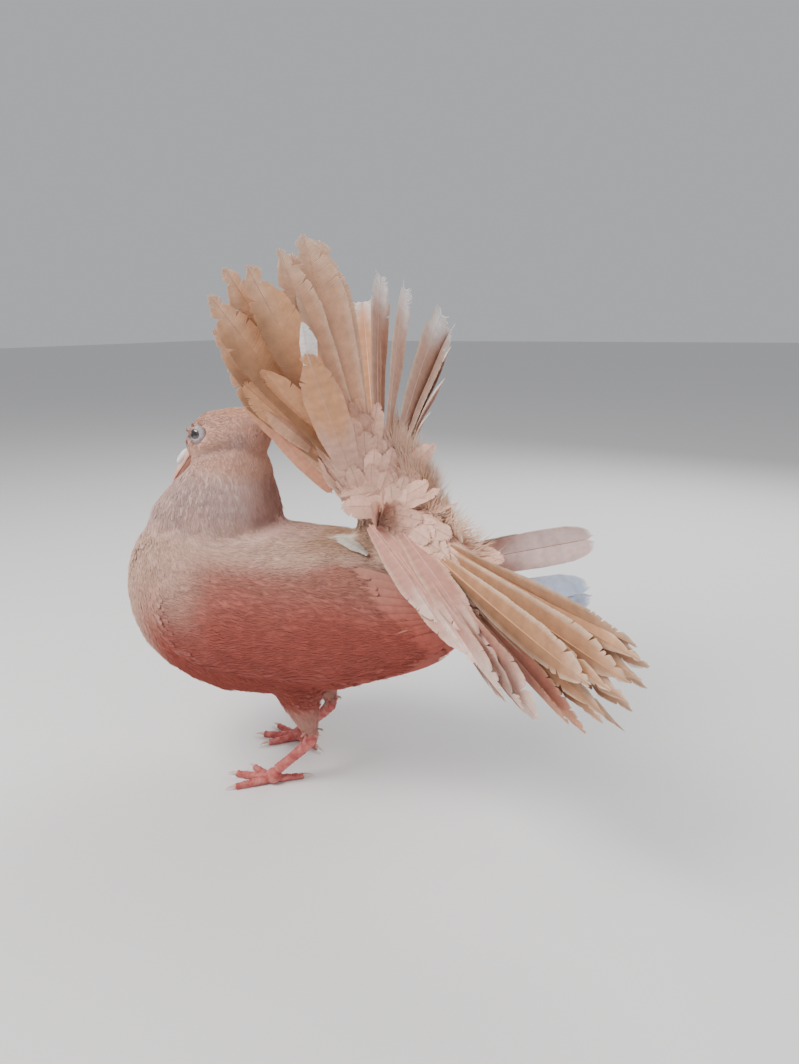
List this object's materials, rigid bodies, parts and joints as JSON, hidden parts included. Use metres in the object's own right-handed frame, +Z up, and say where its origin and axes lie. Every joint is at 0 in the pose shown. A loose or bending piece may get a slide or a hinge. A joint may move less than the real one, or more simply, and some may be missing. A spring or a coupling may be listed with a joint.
{
  "type": "fantail pigeon figure",
  "caption": "Life-size standing fantail pigeon, head drawn back, fan tail raised and partly swept to one side, both feet flat on the floor.",
  "frame": {"origin": "centre of the flat under the ball of the left foot, on the floor", "axes": "+Z up, +X from the bill towards the tail, +Y to the bird's right"},
  "size_m": [0.2688, 0.2121, 0.275],
  "materials": {
    "body_feather": "soft matte contour feathers, fawn pink",
    "neck_feather": "soft matte small feathers, mauve fawn",
    "wing_feather": "smooth matte flight feathers",
    "tail_feather": "smooth matte tail feathers, tan with paler worn tips",
    "leg_skin": "scaly dry skin, pink red",
    "claw": "horn, pale",
    "bill": "horn, flesh pink, satin",
    "cere": "powdery white bare skin",
    "eye": "wet gloss, dark"
  },
  "bodies": {
    "root": {"torso": "body_feather", "neck": "neck_feather", "head": "neck_feather", "bill_upper": "bill", "bill_lower": "bill", "cere": "cere", "eye_left": "eye", "eye_right": "eye", "tail_base": "tail_feather", "tail_fan_upper": "tail_feather", "tail_fan_right": "tail_feather", "tail_fan_left": "tail_feather", "wing_left": "wing_feather", "thigh_left": "body_feather", "shank_left": "leg_skin", "foot_left": "leg_skin", "claw_left_1": "claw", "claw_left_2": "claw", "claw_left_3": "claw", "claw_left_4": "claw", "wing_right": "wing_feather", "thigh_right": "body_feather", "shank_right": "leg_skin", "foot_right": "leg_skin", "claw_right_1": "claw", "claw_right_2": "claw", "claw_right_3": "claw", "claw_right_4": "claw"}
  },
  "joints": []
}
